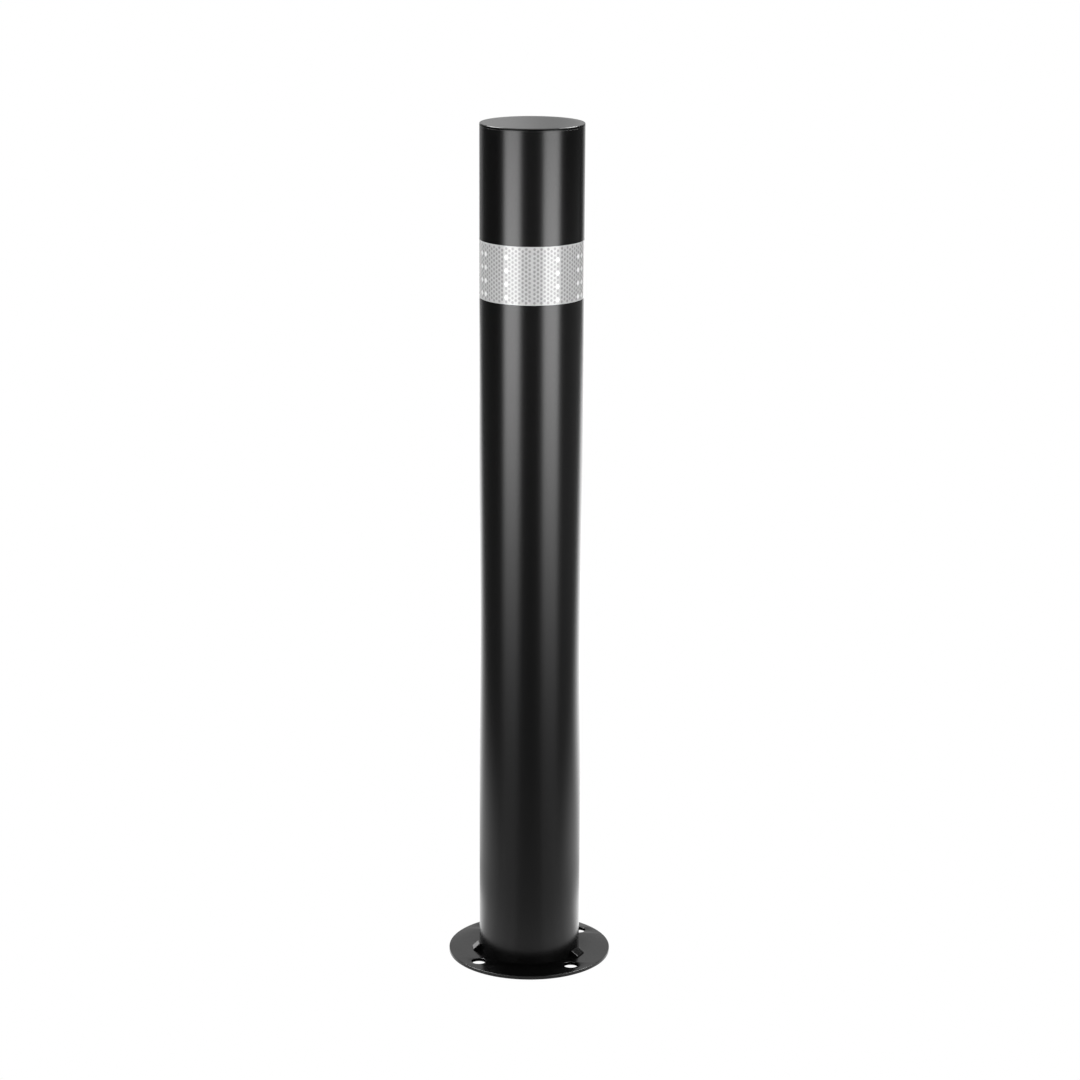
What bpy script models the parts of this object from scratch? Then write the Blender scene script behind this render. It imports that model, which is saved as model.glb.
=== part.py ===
"""Surface-mounted steel bollard post: a round tube on a round bolt-down base plate.

A flat disc closes the top of the tube, joined by a narrow weld that is ground flush. The tube stands on
the plate round a large centre hole, and its foot weld runs inside, where it is laid through that hole.
Two small wedge gussets stiffen the foot outside, and a wrap of reflective tape lies round the upper part.

Units are metres and +Z is up. The origin is the centre of the plate's underside, on the ground.
Azimuths are measured from +X towards +Y, and the front of the post faces -Y.
"""

import math
from collections import namedtuple

import bmesh
import bpy
from mathutils import Matrix, Vector

Gusset = namedtuple("Gusset", "azimuth width height reach")

# ---------------------------------------------------------------- driving dimensions
POST_HEIGHT = 0.750
TUBE_DIAMETER = 0.090
TUBE_WALL = 0.002
PLATE_DIAMETER = 0.145
PLATE_THICKNESS = 0.003
PLATE_EDGE_RADIUS = 0.0005
CENTRE_HOLE_DIAMETER = 0.076

ANCHOR_COUNT = 4
ANCHOR_HOLE_DIAMETER = 0.013
ANCHOR_CIRCLE_DIAMETER = 0.117
FIRST_ANCHOR_AZIMUTH = math.radians(45)

CAP_THICKNESS = 0.0015
CAP_RIM_RADIUS = 0.0004
CAP_WELD_CHAMFER = 0.0010
TUBE_WELD_CHAMFER = 0.0006
WELD_GRINDING_DEPTH = 0.0001

FOOT_WELD_LEG = 0.0034
FOOT_WELD_BULGE = 0.12
FOOT_WELD_ROUNDNESS = 1.5
FOOT_WELD_FACE_POINTS = 5

GUSSET_NOSE = 0.0007
GUSSETS = {
    "foot_gusset_left": Gusset(azimuth=math.radians(-166.5), width=0.009, height=0.0056, reach=0.0062),
    "foot_gusset_right": Gusset(azimuth=math.radians(-20.5), width=0.012, height=0.0048, reach=0.0067),
}

TAPE_WIDTH = 0.050
TAPE_TOP_BELOW_POST_TOP = 0.099
TAPE_THICKNESS = 0.0004
TAPE_OVERLAP = math.radians(14)
TAPE_RISE = math.radians(8)
TAPE_RISE_TO_START = math.radians(2)
TAPE_START_AZIMUTH = math.radians(97)
TAPE_STATIONS = 133

JOINT_GAP = 0.0003
ROUND_SEGMENTS = 96
HOLE_SEGMENTS = 32
SHARP_ANGLE = math.radians(35)

# ---------------------------------------------------------------- derived dimensions
TUBE_RADIUS = TUBE_DIAMETER / 2
TUBE_INNER_RADIUS = TUBE_RADIUS - TUBE_WALL
TUBE_FOOT_Z = PLATE_THICKNESS + JOINT_GAP
CAP_UNDERSIDE_Z = POST_HEIGHT - CAP_THICKNESS
TUBE_TOP_Z = CAP_UNDERSIDE_Z - JOINT_GAP
TAPE_TOP_Z = POST_HEIGHT - TAPE_TOP_BELOW_POST_TOP


# ---------------------------------------------------------------- helpers
def clear_scene():
    """Remove every object that the file opened with."""
    for item in list(bpy.data.objects):
        bpy.data.objects.remove(item, do_unlink=True)


def principled(name, colour, roughness, metallic):
    """A Principled BSDF material with one colour."""
    material = bpy.data.materials.new(name)
    material.use_nodes = True
    shader = material.node_tree.nodes["Principled BSDF"]
    shader.inputs["Base Color"].default_value = (*colour, 1.0)
    shader.inputs["Roughness"].default_value = roughness
    shader.inputs["Metallic"].default_value = metallic
    return material


def black_powder_coat(name):
    """Satin black powder coat over steel."""
    return principled(name, (0.004, 0.004, 0.0042), 0.30, 0.0)


def painted_weld(name):
    """Weld metal under the same coat, a little duller."""
    return principled(name, (0.008, 0.008, 0.0083), 0.60, 0.0)


def silver_prismatic_tape(name):
    """Silver-white prismatic reflective sheeting."""
    return principled(name, (0.42, 0.42, 0.43), 0.30, 0.05)


def new_object(name, bm, material):
    """Turn a bmesh into a smooth-shaded object with one material."""
    bmesh.ops.recalc_face_normals(bm, faces=bm.faces)
    mesh = bpy.data.meshes.new(name)
    bm.to_mesh(mesh)
    bm.free()
    mesh.materials.append(material)
    mesh.shade_smooth()
    mesh.set_sharp_from_angle(angle=SHARP_ANGLE)
    item = bpy.data.objects.new(name, mesh)
    bpy.context.scene.collection.objects.link(item)
    return item


def turned_ring(name, profile, material):
    """Turn a closed (radius, height) profile about Z into a ring."""
    bm = bmesh.new()
    corners = [bm.verts.new((radius, 0.0, height)) for radius, height in profile]
    edges = [bm.edges.new((start, end)) for start, end in zip(corners, corners[1:] + corners[:1])]
    bmesh.ops.spin(
        bm,
        geom=corners + edges,
        cent=(0.0, 0.0, 0.0),
        axis=(0.0, 0.0, 1.0),
        angle=math.tau,
        steps=ROUND_SEGMENTS,
        use_merge=True,
    )
    return new_object(name, bm, material)


def disc(name, diameter, thickness, base_z, segments, material):
    """A plain round disc that stands on base_z."""
    bm = bmesh.new()
    bmesh.ops.create_cone(
        bm,
        cap_ends=True,
        segments=segments,
        radius1=diameter / 2,
        radius2=diameter / 2,
        depth=thickness,
        matrix=Matrix.Translation((0.0, 0.0, thickness / 2)),
    )
    item = new_object(name, bm, material)
    item.location.z = base_z
    return item


def hole_cutter(name, diameter, wall, centre):
    """A hidden cylinder that stands out of the wall it cuts by the wall's own thickness on each side."""
    cutter = disc(name, diameter, wall * 3, -wall, HOLE_SEGMENTS, None)
    cutter.location.xy = centre
    cutter.display_type = "WIRE"
    cutter.hide_render = True
    return cutter


def cut_away(item, cutter):
    """Subtract a cutter from an object."""
    modifier = item.modifiers.new(cutter.name, "BOOLEAN")
    modifier.operation = "DIFFERENCE"
    modifier.solver = "EXACT"
    modifier.object = cutter


def round_edges(item, width, segments):
    """Round the object's sharp edges."""
    modifier = item.modifiers.new("edge_radius", "BEVEL")
    modifier.limit_method = "ANGLE"
    modifier.angle_limit = SHARP_ANGLE
    modifier.width = width
    modifier.segments = segments


# ---------------------------------------------------------------- pieces
def make_base_plate():
    """The round bolt-down plate, with its centre hole and its circle of anchor holes."""
    plate = disc(
        "base_plate",
        PLATE_DIAMETER,
        PLATE_THICKNESS,
        0.0,
        ROUND_SEGMENTS,
        black_powder_coat("base_plate_coat"),
    )
    round_edges(plate, PLATE_EDGE_RADIUS, 2)
    cut_away(plate, hole_cutter("centre_hole_cutter", CENTRE_HOLE_DIAMETER, PLATE_THICKNESS, (0, 0)))
    for index in range(ANCHOR_COUNT):
        azimuth = FIRST_ANCHOR_AZIMUTH + index * math.tau / ANCHOR_COUNT
        centre = Vector((math.cos(azimuth), math.sin(azimuth))) * ANCHOR_CIRCLE_DIAMETER / 2
        cutter = hole_cutter(f"anchor_hole_cutter_{index + 1}", ANCHOR_HOLE_DIAMETER, PLATE_THICKNESS, centre)
        cut_away(plate, cutter)


def make_post_tube():
    """The tube. Its top outer edge is chamfered to take the cap's weld."""
    profile = [
        (TUBE_RADIUS, TUBE_TOP_Z - TUBE_WELD_CHAMFER),
        (TUBE_RADIUS, TUBE_FOOT_Z),
        (TUBE_INNER_RADIUS, TUBE_FOOT_Z),
        (TUBE_INNER_RADIUS, TUBE_TOP_Z),
        (TUBE_RADIUS - TUBE_WELD_CHAMFER, TUBE_TOP_Z),
    ]
    turned_ring("post_tube", profile, black_powder_coat("post_tube_coat"))


def make_top_cap():
    """The flat disc on the tube, with a rounded rim and a chamfer below for the weld."""
    bm = bmesh.new()
    bmesh.ops.create_cone(
        bm,
        cap_ends=True,
        segments=ROUND_SEGMENTS,
        radius1=TUBE_RADIUS,
        radius2=TUBE_RADIUS,
        depth=CAP_THICKNESS,
        matrix=Matrix.Translation((0.0, 0.0, CAP_THICKNESS / 2)),
    )
    top_rim = [edge for edge in bm.edges if all(vert.co.z > CAP_THICKNESS / 2 for vert in edge.verts)]
    bottom_rim = [edge for edge in bm.edges if all(vert.co.z < CAP_THICKNESS / 2 for vert in edge.verts)]
    bmesh.ops.bevel(bm, geom=top_rim, offset=CAP_RIM_RADIUS, segments=4, profile=0.5, affect="EDGES")
    bmesh.ops.bevel(bm, geom=bottom_rim, offset=CAP_WELD_CHAMFER, segments=1, profile=0.5, affect="EDGES")
    cap = new_object("top_cap", bm, black_powder_coat("top_cap_coat"))
    cap.location.z = CAP_UNDERSIDE_Z


def make_cap_weld():
    """The weld metal between the chamfers of the tube and the cap, ground flush with the tube."""
    clearance = JOINT_GAP * math.sqrt(2)
    upper_z = CAP_UNDERSIDE_Z + CAP_WELD_CHAMFER - clearance
    lower_z = TUBE_TOP_Z - TUBE_WELD_CHAMFER + clearance
    root_depth = (upper_z - lower_z) / 2
    profile = [
        (TUBE_RADIUS - WELD_GRINDING_DEPTH, upper_z - WELD_GRINDING_DEPTH),
        (TUBE_RADIUS - WELD_GRINDING_DEPTH, lower_z + WELD_GRINDING_DEPTH),
        (TUBE_RADIUS - root_depth, lower_z + root_depth),
    ]
    turned_ring("cap_weld", profile, painted_weld("cap_weld_coat"))


def make_foot_weld():
    """The bead in the corner between the tube's inner wall and the plate."""
    wall_radius = TUBE_INNER_RADIUS - JOINT_GAP
    profile = [(wall_radius, TUBE_FOOT_Z)]
    for index in range(FOOT_WELD_FACE_POINTS):
        turn = math.pi / 2 * index / (FOOT_WELD_FACE_POINTS - 1)
        leg = FOOT_WELD_LEG * (1 + FOOT_WELD_BULGE * math.sin(2 * turn))
        reach = leg * math.sin(turn) ** FOOT_WELD_ROUNDNESS
        rise = leg * math.cos(turn) ** FOOT_WELD_ROUNDNESS
        profile.append((wall_radius - reach, TUBE_FOOT_Z + rise))
    turned_ring("foot_weld", profile, painted_weld("foot_weld_coat"))


def make_foot_gusset(name, size):
    """A small wedge with its upright face at the tube and its slanted face outwards."""
    inner = TUBE_RADIUS + JOINT_GAP
    outline = [
        (inner, 0.0),
        (inner + size.reach, 0.0),
        (inner + size.reach, GUSSET_NOSE),
        (inner + GUSSET_NOSE, size.height),
        (inner, size.height),
    ]
    bm = bmesh.new()
    corners = [bm.verts.new((reach, -size.width / 2, rise)) for reach, rise in outline]
    side = bm.faces.new(corners)
    swept = bmesh.ops.extrude_face_region(bm, geom=[side])
    far_side = [item for item in swept["geom"] if isinstance(item, bmesh.types.BMVert)]
    bmesh.ops.translate(bm, vec=(0.0, size.width, 0.0), verts=far_side)
    gusset = new_object(name, bm, black_powder_coat(f"{name}_coat"))
    gusset.location.z = TUBE_FOOT_Z
    gusset.rotation_euler.z = size.azimuth


def tape_inner_radius(travel):
    """The wrap lies on the tube, then climbs over its own starting end."""
    bed = TUBE_RADIUS + JOINT_GAP
    climb_start = math.tau - TAPE_RISE - TAPE_RISE_TO_START
    climb = min(max((travel - climb_start) / TAPE_RISE, 0.0), 1.0)
    eased = climb * climb * (3 - 2 * climb)
    return bed + eased * (TAPE_THICKNESS + JOINT_GAP)


def make_reflective_band():
    """One strip of tape, wrapped once round the tube with a short overlap at the back."""
    sweep = math.tau + TAPE_OVERLAP
    bm = bmesh.new()
    stations = []
    for index in range(TAPE_STATIONS):
        travel = sweep * index / (TAPE_STATIONS - 1)
        azimuth = TAPE_START_AZIMUTH + travel
        outward = Vector((math.cos(azimuth), math.sin(azimuth), 0.0))
        inner = tape_inner_radius(travel)
        section = [
            outward * radius + Vector((0.0, 0.0, height))
            for radius, height in (
                (inner, TAPE_TOP_Z - TAPE_WIDTH),
                (inner + TAPE_THICKNESS, TAPE_TOP_Z - TAPE_WIDTH),
                (inner + TAPE_THICKNESS, TAPE_TOP_Z),
                (inner, TAPE_TOP_Z),
            )
        ]
        stations.append([bm.verts.new(point) for point in section])
    for here, after in zip(stations, stations[1:]):
        for side in range(4):
            other = (side + 1) % 4
            bm.faces.new((here[side], here[other], after[other], after[side]))
    bm.faces.new(stations[0])
    bm.faces.new(list(reversed(stations[-1])))
    new_object("reflective_band", bm, silver_prismatic_tape("reflective_band_tape"))


def main():
    clear_scene()
    make_base_plate()
    make_post_tube()
    make_top_cap()
    make_cap_weld()
    make_foot_weld()
    for name, size in GUSSETS.items():
        make_foot_gusset(name, size)
    make_reflective_band()


main()
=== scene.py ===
import math
from collections import namedtuple

import bmesh
import bpy
from mathutils import Matrix, Vector, noise


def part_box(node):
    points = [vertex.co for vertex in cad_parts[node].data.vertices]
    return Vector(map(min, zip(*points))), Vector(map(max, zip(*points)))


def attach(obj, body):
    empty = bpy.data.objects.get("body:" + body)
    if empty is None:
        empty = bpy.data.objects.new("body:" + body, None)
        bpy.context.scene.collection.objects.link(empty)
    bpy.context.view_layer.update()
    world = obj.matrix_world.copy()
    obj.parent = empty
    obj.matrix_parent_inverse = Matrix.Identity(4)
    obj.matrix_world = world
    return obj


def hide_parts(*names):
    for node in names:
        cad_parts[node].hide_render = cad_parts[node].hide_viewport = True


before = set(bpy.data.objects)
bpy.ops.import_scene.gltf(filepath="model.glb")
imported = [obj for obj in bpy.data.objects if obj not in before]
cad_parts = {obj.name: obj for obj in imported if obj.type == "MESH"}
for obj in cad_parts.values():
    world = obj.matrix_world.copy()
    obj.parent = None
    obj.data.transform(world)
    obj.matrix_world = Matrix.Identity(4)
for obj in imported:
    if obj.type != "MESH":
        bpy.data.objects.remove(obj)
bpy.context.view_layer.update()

# ---------------------------------------------------------------- sizes read from the frame
_, PLATE_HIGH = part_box("base_plate")
_, TUBE_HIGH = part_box("post_tube")
CAP_LOW, CAP_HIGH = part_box("top_cap")
TAPE_LOW, TAPE_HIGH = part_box("reflective_band")
FOOT_WELD_LOW, FOOT_WELD_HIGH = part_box("foot_weld")

PLATE_TOP = PLATE_HIGH.z
PLATE_RADIUS = PLATE_HIGH.x
TUBE_RADIUS = TUBE_HIGH.x
POST_TOP = CAP_HIGH.z

# ---------------------------------------------------------------- design sizes, metres
MM = 0.001
TUBE_WALL = 2.0 * MM
TUBE_CHAMFER = 0.6 * MM
CAP_CHAMFER = 0.7 * MM
CENTRE_HOLE_RADIUS = 38.0 * MM
ANCHOR_HOLE_RADIUS = 6.5 * MM
ANCHOR_CIRCLE_RADIUS = 58.5 * MM
ANCHOR_COUNT = 4
FIRST_ANCHOR_AZIMUTH = math.radians(45)
PLATE_EDGE_RADIUS = 0.3 * MM

Gusset = namedtuple("Gusset", "azimuth width height reach")
GUSSETS = {
    "foot_gusset_left": Gusset(math.radians(-166.5), 9.0 * MM, 5.6 * MM, 6.2 * MM),
    "foot_gusset_right": Gusset(math.radians(-20.5), 12.0 * MM, 4.8 * MM, 6.7 * MM),
}

TAPE_START_AZIMUTH = math.radians(97)
TAPE_OVERLAP = math.radians(14)
TAPE_RISE = math.radians(8)
TAPE_RISE_TO_START = math.radians(2)
SEAM_AZIMUTH = math.radians(-84.2)
TAPE_THICKNESS = 0.25 * MM
TAPE_GAP = 0.02 * MM
HAIRLINE = 0.02 * MM

ROUND_SEGMENTS = 256
SHARP_ANGLE = math.radians(32)

# The camera and the studio stand a little to the right of the post's own front.
STUDIO_TURN = math.radians(5.5)
BACKDROP_DEPTH = 2.2
FRONT_LIGHT_DISTANCE = 2.4
LIGHT_SECTOR = (math.radians(25.5), math.radians(61.5))


# ---------------------------------------------------------------- mesh helpers
def link_mesh(name, bm, materials, smooth=True):
    """Make a piece from a bmesh, smooth-shaded up to the sharp angle."""
    bmesh.ops.recalc_face_normals(bm, faces=bm.faces)
    mesh = bpy.data.meshes.new(name)
    bm.to_mesh(mesh)
    bm.free()
    for material in materials:
        mesh.materials.append(material)
    if smooth:
        mesh.shade_smooth()
        mesh.set_sharp_from_angle(angle=SHARP_ANGLE)
    piece = bpy.data.objects.new(name, mesh)
    bpy.context.scene.collection.objects.link(piece)
    return piece


def stands_for(piece, node):
    """The piece rides on the post's one body and replaces a CAD node."""
    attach(piece, "root")
    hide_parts(node)


def arc(centre_r, centre_z, radius, start_degrees, end_degrees, steps):
    """Points of an arc in a turned profile's (radius, height) plane."""
    points = []
    for index in range(steps + 1):
        angle = math.radians(start_degrees + (end_degrees - start_degrees) * index / steps)
        points.append((centre_r + radius * math.cos(angle), centre_z + radius * math.sin(angle)))
    return points


def turned_mesh(profile, segments, closed, ripple=None):
    """Turn a (radius, height) profile about Z. A ripple moves each point by its azimuth and place."""
    bm = bmesh.new()
    rings = []
    for step in range(segments):
        azimuth = math.tau * step / segments
        ring = []
        for index, (radius, height) in enumerate(profile):
            if ripple:
                radius, height = ripple(azimuth, index, radius, height)
            ring.append(bm.verts.new((radius * math.cos(azimuth), radius * math.sin(azimuth), height)))
        rings.append(ring)
    count = len(profile) if closed else len(profile) - 1
    for step in range(segments):
        here = rings[step]
        after = rings[(step + 1) % segments]
        for index in range(count):
            other = (index + 1) % len(profile)
            bm.faces.new((here[index], after[index], after[other], here[other]))
    return bm, rings


def noise_round(azimuth, detail, level):
    """Smooth noise that closes on itself round the post. More detail makes it finer."""
    return noise.noise(Vector((math.cos(azimuth) * detail, math.sin(azimuth) * detail, level)))


# ---------------------------------------------------------------- node helpers
def new_material(name):
    material = bpy.data.materials.new(name)
    material.use_nodes = True
    tree = material.node_tree
    return material, tree, tree.nodes["Principled BSDF"]


def noise_value(tree, coordinates, scale, detail):
    node = tree.nodes.new("ShaderNodeTexNoise")
    node.inputs["Scale"].default_value = scale
    node.inputs["Detail"].default_value = detail
    tree.links.new(coordinates, node.inputs["Vector"])
    return node.outputs["Fac"]


def map_range(tree, value, low, high, new_low, new_high, smooth=False):
    node = tree.nodes.new("ShaderNodeMapRange")
    if smooth:
        node.interpolation_type = "SMOOTHSTEP"
    node.inputs["From Min"].default_value = low
    node.inputs["From Max"].default_value = high
    node.inputs["To Min"].default_value = new_low
    node.inputs["To Max"].default_value = new_high
    tree.links.new(value, node.inputs["Value"])
    return node.outputs["Result"]


def math_node(tree, operation, first, second=None):
    node = tree.nodes.new("ShaderNodeMath")
    node.operation = operation
    for socket, value in zip(node.inputs, (first, second)):
        if value is None:
            continue
        if isinstance(value, (int, float)):
            socket.default_value = value
        else:
            tree.links.new(value, socket)
    return node.outputs["Value"]


def add(tree, first, second):
    return math_node(tree, "ADD", first, second)


def subtract(tree, first, second):
    return math_node(tree, "SUBTRACT", first, second)


def multiply(tree, first, second):
    return math_node(tree, "MULTIPLY", first, second)


def absolute(tree, value):
    return math_node(tree, "ABSOLUTE", value)


def grey_ramp(tree, value, dark_place, dark, light_place, light):
    """A colour that goes from one (red, green, blue) to another as the value rises."""
    ramp = tree.nodes.new("ShaderNodeValToRGB")
    ramp.color_ramp.elements[0].position = dark_place
    ramp.color_ramp.elements[0].color = (*dark, 1.0)
    ramp.color_ramp.elements[1].position = light_place
    ramp.color_ramp.elements[1].color = (*light, 1.0)
    tree.links.new(value, ramp.inputs["Fac"])
    return ramp.outputs["Color"]


def bump_node(tree, height, strength, distance, normal=None):
    node = tree.nodes.new("ShaderNodeBump")
    node.inputs["Strength"].default_value = strength
    node.inputs["Distance"].default_value = distance
    tree.links.new(height, node.inputs["Height"])
    if normal is not None:
        tree.links.new(normal, node.inputs["Normal"])
    return node.outputs["Normal"]


# ---------------------------------------------------------------- materials
def powder_coat(name, roughness, tone=0.0011, peel=0.04):
    """Black powder coat: a fine orange peel, with small changes of tone and gloss."""
    gloss_change = 0.015
    peel_height, grain_height = 0.4 * MM, 0.1 * MM
    material, tree, shader = new_material(name)
    place = tree.nodes.new("ShaderNodeTexCoord").outputs["Object"]

    cloud = noise_value(tree, place, scale=22.0, detail=3.0)
    dark = (tone * 0.85, tone * 0.85, tone * 0.87)
    light = (tone * 1.2, tone * 1.2, tone * 1.24)
    tree.links.new(grey_ramp(tree, cloud, 0.35, dark, 0.65, light), shader.inputs["Base Color"])

    gloss = noise_value(tree, place, scale=900.0, detail=2.0)
    rough = map_range(tree, gloss, 0.3, 0.7, roughness - gloss_change, roughness + gloss_change)
    tree.links.new(rough, shader.inputs["Roughness"])

    orange_peel = noise_value(tree, place, scale=420.0, detail=1.5)
    grain = noise_value(tree, place, scale=2600.0, detail=1.0)
    peeled = bump_node(tree, orange_peel, peel, peel_height)
    grained = bump_node(tree, grain, peel * 0.5, grain_height, peeled)
    tree.links.new(grained, shader.inputs["Normal"])
    return material


def tape_film(name, tone):
    """Pale film of the tape under its clear glossy cover, with a trace of grain."""
    material, tree, shader = new_material(name)
    place = tree.nodes.new("ShaderNodeTexCoord").outputs["Object"]
    grain = noise_value(tree, place, scale=700.0, detail=3.0)
    dark, light = [tone * 0.9] * 3, [tone * 1.08] * 3
    tree.links.new(grey_ramp(tree, grain, 0.3, dark, 0.7, light), shader.inputs["Base Color"])
    shader.inputs["Roughness"].default_value = 0.35
    add_cover_film(tree, shader)
    return material


def add_cover_film(tree, shader):
    """The clear glossy cover lies smooth over the cells, so it mirrors as a plain cylinder would."""
    place = tree.nodes.new("ShaderNodeTexCoord").outputs["Object"]
    flatten = tree.nodes.new("ShaderNodeVectorMath")
    flatten.operation = "MULTIPLY"
    flatten.inputs[1].default_value = (1.0, 1.0, 0.0)
    tree.links.new(place, flatten.inputs[0])
    outward = tree.nodes.new("ShaderNodeVectorMath")
    outward.operation = "NORMALIZE"
    tree.links.new(flatten.outputs["Vector"], outward.inputs[0])
    tree.links.new(outward.outputs["Vector"], shader.inputs["Coat Normal"])
    shader.inputs["Coat Weight"].default_value = 1.0
    shader.inputs["Coat Roughness"].default_value = 0.06
    shader.inputs["Coat IOR"].default_value = 1.43


# ---------------------------------------------------------------- pieces
def add_circle(outline, centre_x, centre_y, radius):
    """Add a circle to a flat curve, as four Bezier arcs."""
    handle = 4 / 3 * math.tan(math.pi / 8)
    centre = Vector((centre_x, centre_y, 0.0))
    spline = outline.splines.new("BEZIER")
    spline.bezier_points.add(3)
    spline.use_cyclic_u = True
    for index, point in enumerate(spline.bezier_points):
        outward = Vector((math.cos(math.pi / 2 * index), math.sin(math.pi / 2 * index), 0.0))
        along = Vector((-outward.y, outward.x, 0.0))
        point.co = centre + outward * radius
        point.handle_left = point.co - along * radius * handle
        point.handle_right = point.co + along * radius * handle


def make_plate(material):
    """Base plate: a flat outline with its holes, given thickness and small round edges all over."""
    outline = bpy.data.curves.new("plate_outline", "CURVE")
    outline.dimensions = "2D"
    outline.fill_mode = "BOTH"
    outline.resolution_u = 48
    add_circle(outline, 0.0, 0.0, PLATE_RADIUS)
    add_circle(outline, 0.0, 0.0, CENTRE_HOLE_RADIUS)
    for index in range(ANCHOR_COUNT):
        azimuth = FIRST_ANCHOR_AZIMUTH + math.tau * index / ANCHOR_COUNT
        centre_x = ANCHOR_CIRCLE_RADIUS * math.cos(azimuth)
        centre_y = ANCHOR_CIRCLE_RADIUS * math.sin(azimuth)
        add_circle(outline, centre_x, centre_y, ANCHOR_HOLE_RADIUS)
    outline.extrude = PLATE_TOP / 2 - PLATE_EDGE_RADIUS
    outline.bevel_depth = PLATE_EDGE_RADIUS
    outline.bevel_resolution = 4
    outline.offset = -PLATE_EDGE_RADIUS
    guide = bpy.data.objects.new("plate_outline", outline)
    bpy.context.scene.collection.objects.link(guide)
    evaluated = guide.evaluated_get(bpy.context.evaluated_depsgraph_get())
    mesh = bpy.data.meshes.new_from_object(evaluated)
    bpy.data.objects.remove(guide, do_unlink=True)
    bm = bmesh.new()
    bm.from_mesh(mesh)
    bpy.data.meshes.remove(mesh)
    bmesh.ops.remove_doubles(bm, verts=bm.verts, dist=0.001 * MM)
    bmesh.ops.translate(bm, vec=(0.0, 0.0, PLATE_TOP / 2), verts=bm.verts)
    piece = link_mesh("base_plate_finish", bm, [material])
    stands_for(piece, "base_plate")


def make_tube(material):
    """Post tube: a plain wall close on the plate, with a chamfered top and very slight hollows."""
    levels = 60
    hollow_depth = 0.02 * MM
    plain_end = 5 * MM
    inner = TUBE_RADIUS - TUBE_WALL
    foot = PLATE_TOP + HAIRLINE
    profile = [(inner, TUBE_HIGH.z), (inner, foot), (TUBE_RADIUS, foot)]
    top = TUBE_HIGH.z - TUBE_CHAMFER
    profile += [(TUBE_RADIUS, foot + (top - foot) * level / levels) for level in range(1, levels + 1)]
    profile += [(TUBE_RADIUS - TUBE_CHAMFER, TUBE_HIGH.z)]

    def ripple(azimuth, index, radius, height):
        outside = radius > TUBE_RADIUS - TUBE_CHAMFER / 2
        if not outside or height < foot + plain_end or height > top - plain_end:
            return radius, height
        hollow = min(noise_round(azimuth, detail=1.3, level=height * 9), 0.0)
        return radius + hollow_depth * hollow, height

    bm, _ = turned_mesh(profile, ROUND_SEGMENTS, True, ripple)
    piece = link_mesh("post_tube_finish", bm, [material])
    stands_for(piece, "post_tube")


def make_cap(material):
    """Top cap: a flat disc with a small rounded rim over the chamfer that takes its weld."""
    rim = 0.7 * MM
    flat_edge = TUBE_RADIUS - rim
    rings_inwards = 6
    profile = [(TUBE_RADIUS - CAP_CHAMFER, CAP_LOW.z), (TUBE_RADIUS, CAP_LOW.z + CAP_CHAMFER)]
    profile += arc(flat_edge, POST_TOP - rim, rim, start_degrees=0, end_degrees=90, steps=8)
    profile += [(flat_edge * (1 - step / rings_inwards), POST_TOP) for step in range(1, rings_inwards)]
    bm, rings = turned_mesh(profile, ROUND_SEGMENTS, False)
    top_centre = bm.verts.new((0.0, 0.0, POST_TOP))
    low_centre = bm.verts.new((0.0, 0.0, CAP_LOW.z))
    for here, after in zip(rings, rings[1:] + rings[:1]):
        bm.faces.new((here[-1], after[-1], top_centre))
        bm.faces.new((after[0], here[0], low_centre))
    piece = link_mesh("top_cap_finish", bm, [material])
    stands_for(piece, "top_cap")


def make_cap_weld(material):
    """Cap weld: ground almost flush with the tube, and low enough to leave a fine groove under the rim."""
    groove = 0.4 * MM
    grinding_marks = 0.015 * MM
    crown_inset, crown_overlap = 0.06 * MM, 0.05 * MM
    crown = CAP_LOW.z + CAP_CHAMFER - groove
    low = TUBE_HIGH.z - TUBE_CHAMFER + HAIRLINE
    face = TUBE_RADIUS - HAIRLINE
    levels = 4
    profile = [(face - TUBE_CHAMFER, low + TUBE_CHAMFER), (face, low)]
    profile += [(face, low + (crown - low) * level / levels) for level in range(1, levels)]
    profile += [(face - crown_inset, crown), (face - groove + crown_overlap, crown)]

    def ripple(azimuth, index, radius, height):
        if 2 <= index <= levels + 1:
            radius += grinding_marks * noise_round(azimuth, detail=17, level=index * 0.6)
        return radius, height

    bm, _ = turned_mesh(profile, ROUND_SEGMENTS * 2, True, ripple)
    piece = link_mesh("cap_weld_finish", bm, [material])
    stands_for(piece, "cap_weld")


def make_foot_weld(material):
    """Foot weld: a bead inside the tube, with the overlapping ripples of the weld pool."""
    wall = FOOT_WELD_HIGH.x
    base = FOOT_WELD_LOW.z
    leg = FOOT_WELD_HIGH.z - base
    face_steps = 9
    hollowness = 1.6
    profile = [(wall, base)]
    for step in range(face_steps):
        turn = math.pi / 2 * step / (face_steps - 1)
        profile.append((wall - leg * math.sin(turn) ** hollowness, base + leg * math.cos(turn) ** hollowness))
    ripple_length = 2.2 * MM
    ripple_count = round(math.tau * wall / ripple_length)
    ripple_height = 0.22 * MM
    wander_height = 0.12 * MM
    segments_per_ripple = 6

    def ripple(azimuth, index, radius, height):
        if index < 2 or index == face_steps:
            return radius, height
        across = math.sin(math.pi * (index - 1) / (face_steps - 1))
        lag = 0.9 * across
        phase = (azimuth * ripple_count / math.tau + lag / math.tau) % 1.0
        wander = noise_round(azimuth, detail=6, level=0.0)
        lift = across * (ripple_height * (1 - phase) ** 1.4 + wander_height * wander)
        return radius - lift * 0.7, height + lift * 0.7

    bm, _ = turned_mesh(profile, ripple_count * segments_per_ripple, True, ripple)
    piece = link_mesh("foot_weld_finish", bm, [material])
    stands_for(piece, "foot_weld")


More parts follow.
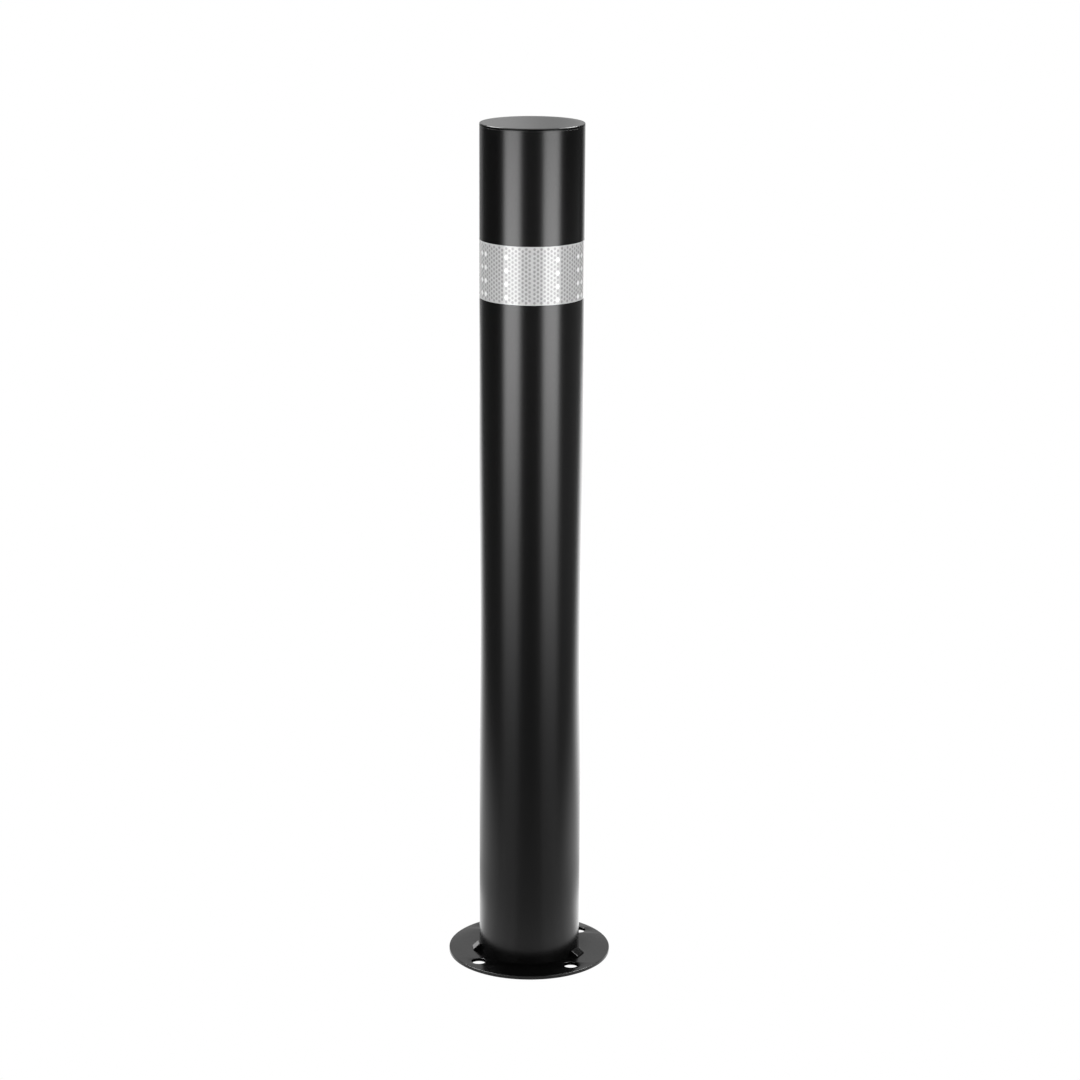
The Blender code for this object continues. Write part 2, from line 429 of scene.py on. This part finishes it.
def make_gusset(name, size, material):
    """Foot gusset: a small wedge with fine edges, let into the tube's coat and standing on the plate."""
    inner = TUBE_RADIUS - 0.15 * MM
    foot = -0.01 * MM
    lift = PLATE_TOP + HAIRLINE
    nose = 0.7 * MM
    joint_gap = 0.3 * MM
    edge_radius = 0.2 * MM
    tolerance = 0.1 * MM
    outline = [
        (inner, foot),
        (TUBE_RADIUS + joint_gap + size.reach, foot),
        (TUBE_RADIUS + joint_gap + size.reach, nose),
        (TUBE_RADIUS + joint_gap + nose, size.height),
        (inner, size.height),
    ]
    bm = bmesh.new()
    corners = [bm.verts.new((reach, -size.width / 2, rise)) for reach, rise in outline]
    side = bm.faces.new(corners)
    swept = bmesh.ops.extrude_face_region(bm, geom=[side])
    far_side = [item for item in swept["geom"] if isinstance(item, bmesh.types.BMVert)]
    bmesh.ops.translate(bm, vec=(0.0, size.width, 0.0), verts=far_side)
    seen = [edge for edge in bm.edges if max(vert.co.x for vert in edge.verts) > inner + tolerance]
    seen = [edge for edge in seen if max(vert.co.z for vert in edge.verts) > foot + tolerance]
    bmesh.ops.bevel(bm, geom=seen, offset=edge_radius, segments=3, profile=0.5, affect="EDGES")
    bmesh.ops.rotate(bm, cent=(0, 0, 0), matrix=Matrix.Rotation(size.azimuth, 3, "Z"), verts=bm.verts)
    bmesh.ops.translate(bm, vec=(0.0, 0.0, lift), verts=bm.verts)
    piece = link_mesh(f"{name}_finish", bm, [material], smooth=False)
    stands_for(piece, name)


def tape_back_radius(travel):
    """The wrap lies on the tube, then climbs over its own starting end."""
    bed = TUBE_RADIUS + TAPE_GAP
    climb_start = math.tau - TAPE_RISE - TAPE_RISE_TO_START
    climb = min(max((travel - climb_start) / TAPE_RISE, 0.0), 1.0)
    eased = climb * climb * (3 - 2 * climb)
    return bed + eased * (TAPE_THICKNESS + TAPE_GAP)


class Honeycomb:
    """The tape's cells, on zigzag lines that run up the tape side by side."""

    rows = 13
    columns_per_panel = 8
    column_pitch = 2.96 * MM
    panel_pitch = 24.8 * MM
    edge = 0.25 * MM
    cell_inset = 0.62
    pit_depth = 0.05 * MM
    # Every third row of the columns at these turns from the front holds a flat white cell: a painted glint of
    # the prisms.
    painted_glint_row_step = 3
    painted_glint_turns = (28.8, 60.2, 69.0, 111.0, 119.8, 151.2)

    def __init__(self):
        self.height = TAPE_HIGH.z - TAPE_LOW.z
        self.half_cell = (self.height - 2 * self.edge) / self.rows / 2
        radius = TUBE_RADIUS + TAPE_GAP + TAPE_THICKNESS
        self.panel = self.panel_pitch / radius
        self.column = self.column_pitch / radius
        self.side = self.column / 1.5  # a honeycomb's columns stand one and a half sides apart
        self.sweep = math.tau + TAPE_OVERLAP
        self.bm = bmesh.new()

    def point(self, travel, level, lift):
        """A vertex at an angle along the wrap, a height up the tape and a height above its back."""
        azimuth = TAPE_START_AZIMUTH + travel
        radius = tape_back_radius(travel) + lift
        place = (radius * math.cos(azimuth), radius * math.sin(azimuth), TAPE_LOW.z + level)
        return self.bm.verts.new(place)

    def level(self, step):
        return self.edge + step * self.half_cell

    def line(self, travel, swing):
        """One zigzag line: swing is how far its odd points stand from its even ones."""
        verts = []
        for step in range(2 * self.rows + 1):
            here = travel + (swing if step % 2 else 0.0)
            verts.append(self.point(here, self.level(step), TAPE_THICKNESS))
        return verts

    def has_painted_glints(self, travel):
        """Some columns of the tape hold cells painted white as painted glints of the prisms, the same to both
        sides of the front.
        """
        turn = abs(math.degrees(TAPE_START_AZIMUTH + travel - SEAM_AZIMUTH)) % 360
        turn = min(turn, 360 - turn)
        return any(abs(turn - flash) < math.degrees(self.column) / 2 for flash in self.painted_glint_turns)

    def fill_cell(self, left, right, painted_glint):
        """One cell: a pale frame round a pit with six facets, or a flat white cell that is a painted glint.
        """
        corners = left + right[::-1]
        if painted_glint:
            self.bm.faces.new(corners).material_index = 2
            return
        middle = sum((vert.co for vert in corners), Vector()) / len(corners)
        inner = [self.bm.verts.new(middle.lerp(vert.co, self.cell_inset)) for vert in corners]
        inward = Vector((-middle.x, -middle.y, 0.0)).normalized()
        pit = self.bm.verts.new(middle + inward * self.pit_depth)
        for index, corner in enumerate(corners):
            after = (index + 1) % len(corners)
            self.bm.faces.new((corner, corners[after], inner[after], inner[index]))
            facet = self.bm.faces.new((inner[index], inner[after], pit))
            facet.material_index = 1

    def fill_column(self, left, right, odd, painted_glint):
        """The cells between two zigzag lines. An odd column ends in half cells."""
        last = 2 * self.rows
        centres = range(0, last + 1, 2) if odd else range(1, last, 2)
        for centre in centres:
            low = max(centre - 1, 0)
            high = min(centre + 1, last)
            if high - low < 2:
                self.bm.faces.new(left[low:high + 1] + right[low:high + 1][::-1])
                continue
            # A cell in a glint column and a glint row is painted white: a painted glint.
            painted_glint_row = centre // 2 % self.painted_glint_row_step == 1
            self.fill_cell(left[low:high + 1], right[low:high + 1], painted_glint and painted_glint_row)

    def bridge(self, left, right):
        for step in range(2 * self.rows):
            self.bm.faces.new((left[step], left[step + 1], right[step + 1], right[step]))


def lay_honeycomb(comb):
    """Lay the panels of cells along the wrap, with plain seams between them. Returns all the lines."""
    first_seam = (SEAM_AZIMUTH - TAPE_START_AZIMUTH) % math.tau % comb.panel
    span = (comb.columns_per_panel - 1) * comb.column
    margin = comb.side
    lines = [comb.line(0.0, 0.0)]
    travel = first_seam - comb.panel
    while travel < comb.sweep:
        first_centre = travel + (comb.panel - span) / 2
        previous = None
        for column in range(comb.columns_per_panel):
            centre = first_centre + column * comb.column
            if centre - comb.side < margin or centre + comb.side > comb.sweep - margin:
                previous = None
                continue
            odd = column % 2 == 1
            reach = comb.side if odd else comb.side / 2
            swing = -comb.side / 2 if odd else comb.side / 2
            if previous is None:
                previous = comb.line(centre - reach, -swing)
                comb.bridge(lines[-1], previous)
                lines.append(previous)
            after = comb.line(centre + reach, swing)
            comb.fill_column(previous, after, odd, comb.has_painted_glints(centre))
            lines.append(after)
            previous = after
        travel += comb.panel
    lines.append(comb.line(comb.sweep, 0.0))
    comb.bridge(lines[-2], lines[-1])
    return lines


def close_tape(bm, lines, height):
    """Add the plain heat-sealed edges, the cut edges all round and the adhesive back."""
    rounding = 0.08 * MM

    def rim(verts, level, lift_change):
        made = []
        for vert in verts:
            flat = Vector((vert.co.x, vert.co.y, 0.0))
            spot = flat.normalized() * (flat.length + lift_change)
            made.append(bm.verts.new((spot.x, spot.y, TAPE_LOW.z + level)))
        return made

    tops = [line[-1] for line in lines]
    bottoms = [line[0] for line in lines]
    top_edge = rim(tops, height - rounding, 0.0)
    bottom_edge = rim(bottoms, rounding, 0.0)
    top_corner = rim(tops, height, -rounding)
    bottom_corner = rim(bottoms, 0.0, -rounding)
    top_back = rim(tops, height, -TAPE_THICKNESS)
    bottom_back = rim(bottoms, 0.0, -TAPE_THICKNESS)
    loop = [tops, top_edge, top_corner, top_back, bottom_back, bottom_corner, bottom_edge, bottoms]
    for first, second in zip(loop, loop[1:]):
        for index in range(len(lines) - 1):
            bm.faces.new((first[index], first[index + 1], second[index + 1], second[index]))
    for end in (0, -1):
        border = [bottom_back[end], bottom_corner[end], bottom_edge[end]]
        border += lines[end]
        border += [top_edge[end], top_corner[end], top_back[end]]
        bm.faces.new(border)


def make_tape(materials):
    """Reflective band: one wrap of prismatic tape with an overlap, closed all round."""
    comb = Honeycomb()
    lines = lay_honeycomb(comb)
    close_tape(comb.bm, lines, comb.height)
    piece = link_mesh("reflective_band_finish", comb.bm, materials)
    stands_for(piece, "reflective_band")


# ---------------------------------------------------------------- studio
def turned_place(x, y, z):
    """A place in the studio, whose front is turned a little from the post's own."""
    return Matrix.Rotation(STUDIO_TURN, 3, "Z") @ Vector((x, y, z))


def make_camera():
    distance, height = 2.581, 1.072
    pitch, yaw, roll = math.radians(14.92), math.radians(0.18), math.radians(0.266)
    data = bpy.data.cameras.new("camera")
    data.sensor_width = 36.0
    data.lens = 101.5
    data.clip_start = 0.1
    data.clip_end = 200.0
    camera = bpy.data.objects.new("camera", data)
    bpy.context.scene.collection.objects.link(camera)
    spin = Matrix.Rotation(STUDIO_TURN, 3, "Z")
    forward = spin @ Vector((
        math.sin(yaw) * math.cos(pitch),
        math.cos(yaw) * math.cos(pitch),
        -math.sin(pitch),
    ))
    right = spin @ Vector((math.cos(yaw), -math.sin(yaw), 0.0))
    up = right.cross(forward)
    rolled_right = right * math.cos(roll) + up * math.sin(roll)
    rolled_up = up * math.cos(roll) - right * math.sin(roll)
    rotation = Matrix((rolled_right, rolled_up, -forward)).transposed()
    camera.matrix_world = Matrix.Translation(turned_place(0.0, -distance, height)) @ rotation.to_4x4()
    bpy.context.scene.camera = camera


def flat_card(name, corners, material):
    """A four-cornered card of the studio."""
    bm = bmesh.new()
    bm.faces.new([bm.verts.new(turned_place(*corner)) for corner in corners])
    card = link_mesh(name, bm, [material], smooth=False)
    return card


def make_floor():
    """A plain white floor for the eye, clear from below. What the post mirrors of it is on the cards."""
    floor_reach, drop = 60.0, -0.2 * MM
    material, tree, strength = glow_tree("white_floor")
    strength.default_value = 1.0
    output = tree.nodes["Material Output"]
    below = tree.nodes.new("ShaderNodeNewGeometry").outputs["Backfacing"]
    clear = tree.nodes.new("ShaderNodeBsdfTransparent")
    mix = tree.nodes.new("ShaderNodeMixShader")
    tree.links.new(below, mix.inputs["Fac"])
    tree.links.new(tree.nodes["Emission"].outputs["Emission"], mix.inputs[1])
    tree.links.new(clear.outputs["BSDF"], mix.inputs[2])
    tree.links.new(mix.outputs["Shader"], output.inputs["Surface"])
    corners = [(-1, -1), (1, -1), (1, 1), (-1, 1)]
    mesh = bpy.data.meshes.new("floor")
    mesh.from_pydata([(x * floor_reach, y * floor_reach, drop) for x, y in corners], [], [(0, 1, 2, 3)])
    mesh.materials.append(material)
    floor = bpy.data.objects.new("floor", mesh)
    bpy.context.scene.collection.objects.link(floor)
    floor.visible_glossy = False
    floor.visible_diffuse = False
    floor.visible_shadow = False


def studio_place(tree):
    """Coordinates in the studio's own axes: across, depth and height sockets."""
    place = tree.nodes.new("ShaderNodeTexCoord").outputs["Object"]
    turn = tree.nodes.new("ShaderNodeVectorRotate")
    turn.rotation_type = "Z_AXIS"
    turn.inputs["Angle"].default_value = -STUDIO_TURN
    tree.links.new(place, turn.inputs["Vector"])
    split = tree.nodes.new("ShaderNodeSeparateXYZ")
    tree.links.new(turn.outputs["Vector"], split.inputs["Vector"])
    return split.outputs["X"], split.outputs["Y"], split.outputs["Z"]


def fade(tree, value, dark, bright, level=1.0):
    """Smoothly from nothing where the value is dark to the level where it is bright."""
    if dark < bright:
        return map_range(tree, value, dark, bright, 0.0, level, smooth=True)
    return map_range(tree, value, bright, dark, level, 0.0, smooth=True)


def bearing_node(tree, x, y):
    """The angle round the post from the studio's front, the same to both sides."""
    return math_node(tree, "ARCTAN2", absolute(tree, x), multiply(tree, y, -1.0))


def distance_node(tree, x, y):
    """The distance from the studio's upright axis through x = 0 and y = 0."""
    squares = add(tree, multiply(tree, x, x), multiply(tree, y, y))
    return math_node(tree, "SQRT", squares)


def lit_sector(tree, bearing, softness):
    """One where the front lights stand, as seen from the post, and nothing outside."""
    inner, outer = LIGHT_SECTOR
    near_side = fade(tree, bearing, dark=inner - softness, bright=inner + softness)
    far_side = fade(tree, bearing, dark=outer + softness, bright=outer - softness)
    return multiply(tree, near_side, far_side)


def table_sweep(tree, x, y):
    """The bright sweep behind the post. It widens towards the backdrop, and brightens in two steps."""
    middle = add(tree, multiply(tree, y, 0.05), 0.02)
    half_width = add(tree, multiply(tree, y, 0.5), 0.45)
    aside = absolute(tree, subtract(tree, x, middle))
    past_edge = subtract(tree, aside, half_width)
    near_step = fade(tree, y, dark=-0.15, bright=0.12, level=0.58)
    far_step = fade(tree, y, dark=0.15, bright=0.95, level=2.45)
    far_loss = fade(tree, y, dark=0.95, bright=2.0, level=1.4)
    depth = subtract(tree, add(tree, near_step, far_step), far_loss)
    return multiply(tree, fade(tree, past_edge, dark=0.4, bright=-0.35), depth)


def table_halo(tree, bearing, distance):
    """Light on the floor close behind the post, to both sides."""
    from_side = fade(tree, bearing, dark=math.radians(95), bright=math.radians(120))
    from_back = fade(tree, bearing, dark=math.radians(175), bright=math.radians(140))
    near = fade(tree, distance, dark=0.26, bright=0.16, level=0.6)
    return multiply(tree, multiply(tree, from_side, from_back), near)


def table_lean(tree, x, distance):
    """How the floor behind varies: brighter on the right, dim in a ring round the post and near its left."""
    lean = map_range(tree, x, -0.5, 0.5, 0.97, 1.2)
    ring_inside = fade(tree, distance, dark=0.14, bright=0.19)
    ring_outside = fade(tree, distance, dark=0.29, bright=0.22, level=0.42)
    ring = multiply(tree, ring_inside, ring_outside)
    near = fade(tree, distance, dark=0.5, bright=0.3)
    near_left = multiply(tree, near, fade(tree, x, dark=0.03, bright=-0.03, level=0.34))
    kept = subtract(tree, subtract(tree, 1.0, ring), near_left)
    return multiply(tree, lean, kept)


def table_pools(tree, x, y, bearing, distance):
    """Pools of light under the front lights, and one on the right behind the post."""
    weakest, gain, spot_x, spot_y = 0.15, 5.0, 0.6, 0.62
    nearing = map_range(tree, distance, 0.5, FRONT_LIGHT_DISTANCE, 0.0, 1.0)
    pool = add(tree, multiply(tree, math_node(tree, "POWER", nearing, 2.0), gain), weakest)
    pools = multiply(tree, lit_sector(tree, bearing, math.radians(7)), pool)
    from_spot = distance_node(tree, subtract(tree, x, spot_x), subtract(tree, y, spot_y))
    return add(tree, pools, fade(tree, from_spot, dark=0.5, bright=0.0, level=0.95))


def table_sides(tree, bearing, distance):
    """Light on the floor beside the post."""
    to_side = fade(tree, bearing, dark=math.radians(40), bright=math.radians(85))
    return multiply(tree, to_side, fade(tree, distance, dark=0.7, bright=0.25, level=0.35))


def table_apron(tree, distance):
    """Faint light on the floor all round the post."""
    wide = fade(tree, distance, dark=0.7, bright=0.2, level=0.14)
    close = fade(tree, distance, dark=0.25, bright=0.08, level=0.16)
    return add(tree, wide, close)


def make_table_card():
    """What the post mirrors of the floor: a bright sweep behind it, and dimmer pools of light in front."""
    everywhere = 0.13
    material, tree, strength = glow_tree("table_glow")
    x, y, _ = studio_place(tree)
    bearing = bearing_node(tree, x, y)
    distance = distance_node(tree, x, y)
    back = add(tree, table_sweep(tree, x, y), table_halo(tree, bearing, distance))
    back = multiply(tree, back, table_lean(tree, x, distance))
    front = add(tree, back, table_pools(tree, x, y, bearing, distance))
    round_post = add(tree, table_sides(tree, bearing, distance), table_apron(tree, distance))
    base = add(tree, fade(tree, x, dark=0.3, bright=1.2, level=0.13), everywhere)
    total = add(tree, add(tree, front, round_post), base)
    # No glow under the plate: painted shade beneath it, which the holes mirror dark.
    clear_of_plate = fade(tree, distance, dark=PLATE_RADIUS - 4 * MM, bright=PLATE_RADIUS)
    tree.links.new(multiply(tree, total, clear_of_plate), strength)
    drop, half, near, far = -0.5 * MM, 3.0, -FRONT_LIGHT_DISTANCE, BACKDROP_DEPTH
    corners = [(-half, near, drop), (half, near, drop), (half, far, drop), (-half, far, drop)]
    hide_card(flat_card("table_card", corners, material))


def make_backdrop_card():
    """The backdrop that the post mirrors: brightest low down in the middle, dim to the sides."""
    middle, streak_place, everywhere = 0.05, 0.032, 0.08
    material, tree, strength = glow_tree("backdrop_glow")
    x, _, z = studio_place(tree)
    low_glow = fade(tree, z, dark=0.5, bright=0.0, level=1.05)
    wide_glow = fade(tree, z, dark=1.6, bright=0.4, level=0.65)
    high_glow = fade(tree, z, dark=0.93, bright=1.08, level=0.42)
    from_streak = absolute(tree, subtract(tree, x, streak_place))
    streak = fade(tree, from_streak, dark=0.075, bright=0.0, level=0.35)
    streak = multiply(tree, streak, fade(tree, z, dark=0.93, bright=1.0))
    level = add(tree, add(tree, low_glow, wide_glow), subtract(tree, high_glow, streak))
    aside = absolute(tree, subtract(tree, x, middle))
    glow = multiply(tree, fade(tree, aside, dark=1.62, bright=0.75, level=1.12), level)
    tree.links.new(add(tree, glow, everywhere), strength)
    half, top, far = 2.6, 3.0, BACKDROP_DEPTH
    corners = [(-half, far, 0.0), (half, far, 0.0), (half, far, top), (-half, far, top)]
    hide_card(flat_card("backdrop_card", corners, material))


def hide_card(card):
    """A card is there for reflections and light, not for the eye."""
    card.visible_camera = False
    card.visible_shadow = False


def glow_tree(name):
    """An emission material, with its tree and strength socket."""
    material = bpy.data.materials.new(name)
    material.use_nodes = True
    tree = material.node_tree
    tree.nodes.clear()
    glow = tree.nodes.new("ShaderNodeEmission")
    output = tree.nodes.new("ShaderNodeOutputMaterial")
    tree.links.new(glow.outputs["Emission"], output.inputs["Surface"])
    return material, tree, glow.inputs["Strength"]


def glow_material(name, level):
    material, _, strength = glow_tree(name)
    strength.default_value = level
    return material


def make_side_light():
    """A low light behind the post on the left, with a dim flag that hides it from the upper post."""
    bearing = math.radians(29)
    outward = Vector((-math.sin(bearing), math.cos(bearing), 0.0))
    across = Vector((math.cos(bearing), math.sin(bearing), 0.0))

    def upright(name, distance, half_width, low, high, level):
        foot = outward * distance
        ends = (foot - across * half_width, foot + across * half_width)
        corners = [(*end.xy, low) for end in ends] + [(*end.xy, high) for end in reversed(ends)]
        hide_card(flat_card(name, corners, glow_material(f"{name}_glow", level)))

    upright("side_light", distance=2.0, half_width=0.35, low=0.22, high=0.46, level=2.4)
    upright("side_flag", distance=1.5, half_width=0.35, low=0.29, high=0.62, level=0.4)


def make_front_lights():
    """Two low softboxes, one to each side of the camera, on one dim screen bent round the post.

    Only what the eye sees directly mirrors them: the plate's mirror image in the tube doesn't.
    """
    radiance, haze, height, soft_top, steps = 7.0, 0.2, 0.56, 0.06, 60
    softness = math.radians(5.5)
    material, tree, strength = glow_tree("front_light_glow")
    x, y, z = studio_place(tree)
    sector = lit_sector(tree, bearing_node(tree, x, y), softness)
    boxes = add(tree, multiply(tree, sector, radiance), haze)
    mirrorings = tree.nodes.new("ShaderNodeLightPath").outputs["Ray Depth"]
    first_only = math_node(tree, "LESS_THAN", mirrorings, 1.5)
    lit = multiply(tree, boxes, fade(tree, z, dark=height, bright=height - soft_top))
    tree.links.new(multiply(tree, lit, first_only), strength)
    reach = LIGHT_SECTOR[1] + softness
    bm = bmesh.new()
    columns = []
    for step in range(steps + 1):
        angle = reach * (2 * step / steps - 1)
        across = math.sin(angle) * FRONT_LIGHT_DISTANCE
        forward = -math.cos(angle) * FRONT_LIGHT_DISTANCE
        columns.append([bm.verts.new(turned_place(across, forward, level)) for level in (0.0, height)])
    for here, after in zip(columns, columns[1:]):
        bm.faces.new((here[0], after[0], after[1], here[1]))
    card = link_mesh("front_lights", bm, [material], smooth=False)
    hide_card(card)


def make_right_wall():
    """A dim wall on the right, brighter low down, which lifts the post's dark side there a little."""
    aside, near, far, top = 2.9, -1.2, 2.2, 0.9
    material, tree, strength = glow_tree("right_wall_glow")
    _, _, z = studio_place(tree)
    tree.links.new(fade(tree, z, dark=0.5, bright=0.1, level=0.24), strength)
    corners = [(aside, near, 0.0), (aside, far, 0.0), (aside, far, top), (aside, near, top)]
    hide_card(flat_card("right_wall", corners, material))


def make_rim_cards():
    """High cards to both sides, behind the post, for the line of light on the cap's rim."""
    inner, outer, near, far, height, radiance = 0.7, 2.1, 0.35, 1.9, 2.3, 18.0
    for side, name in ((-1, "rim_card_left"), (1, "rim_card_right")):
        outline = [(inner, near), (outer, near), (outer, far), (inner, far)]
        corners = [(side * x, y, height) for x, y in outline]
        card = flat_card(name, corners, glow_material(f"{name}_glow", radiance))
        hide_card(card)
        card.visible_diffuse = False


def make_area_light(name, place, aim, width, depth, radiance):
    data = bpy.data.lights.new(name, "AREA")
    data.shape = "RECTANGLE"
    data.size = width
    data.size_y = depth
    data.energy = radiance * math.pi * width * depth
    light = bpy.data.objects.new(name, data)
    bpy.context.scene.collection.objects.link(light)
    light.location = turned_place(*place)
    light.rotation_mode = "QUATERNION"
    light.rotation_quaternion = (light.location - Vector(aim)).to_track_quat("Z", "Y")
    light.visible_camera = False


def make_high_lights():
    """Softboxes above the post, mostly for the tape. They are too high for the upright coat to mirror."""
    aim = (0.0, 0.0, 0.5)
    make_area_light("key_light", (0.0, -1.4, 2.5), aim, width=3.2, depth=1.2, radiance=2.0)
    for side, name in ((-1, "rim_light_left"), (1, "rim_light_right")):
        make_area_light(name, (side * 1.7, 0.7, 2.2), aim, width=1.0, depth=0.8, radiance=7.0)


def make_world():
    """Even pale surroundings for the eye and for matt surfaces, and a dim room for what the post mirrors."""
    world = bpy.data.worlds.new("studio")
    world.use_nodes = True
    tree = world.node_tree
    background = tree.nodes["Background"]
    path = tree.nodes.new("ShaderNodeLightPath")
    mirrored, matt, seen = 0.06, 0.6, 1.0
    for_the_eye = map_range(tree, path.outputs["Is Camera Ray"], 0.0, 1.0, 0.0, seen - mirrored)
    for_matt = map_range(tree, path.outputs["Is Diffuse Ray"], 0.0, 1.0, mirrored, matt)
    tree.links.new(add(tree, for_the_eye, for_matt), background.inputs["Strength"])
    background.inputs["Color"].default_value = (1.0, 1.0, 1.0, 1.0)
    bpy.context.scene.world = world


def main():
    scene = bpy.context.scene
    scene.view_settings.view_transform = "Standard"
    make_camera()
    make_world()
    make_floor()
    make_table_card()
    make_backdrop_card()
    make_side_light()
    make_front_lights()
    make_right_wall()
    make_rim_cards()
    make_high_lights()

    coat = powder_coat("post_coat", roughness=0.235)
    plate_coat = powder_coat("plate_coat", roughness=0.16, peel=0.02)
    make_tube(coat)
    make_cap(powder_coat("cap_coat", roughness=0.22, peel=0.03))
    make_cap_weld(powder_coat("weld_coat", roughness=0.28, peel=0.10))
    make_foot_weld(powder_coat("foot_weld_coat", tone=0.002, roughness=0.45, peel=0.12))
    make_plate(plate_coat)
    for name, size in GUSSETS.items():
        make_gusset(name, size, plate_coat)
    make_tape([
        tape_film("tape_film", tone=0.53),
        tape_film("tape_pits", tone=0.29),
        # White cells that are painted glints of the tape's prisms.
        tape_film("tape_painted_glint_cells", tone=0.92),
    ])


main()
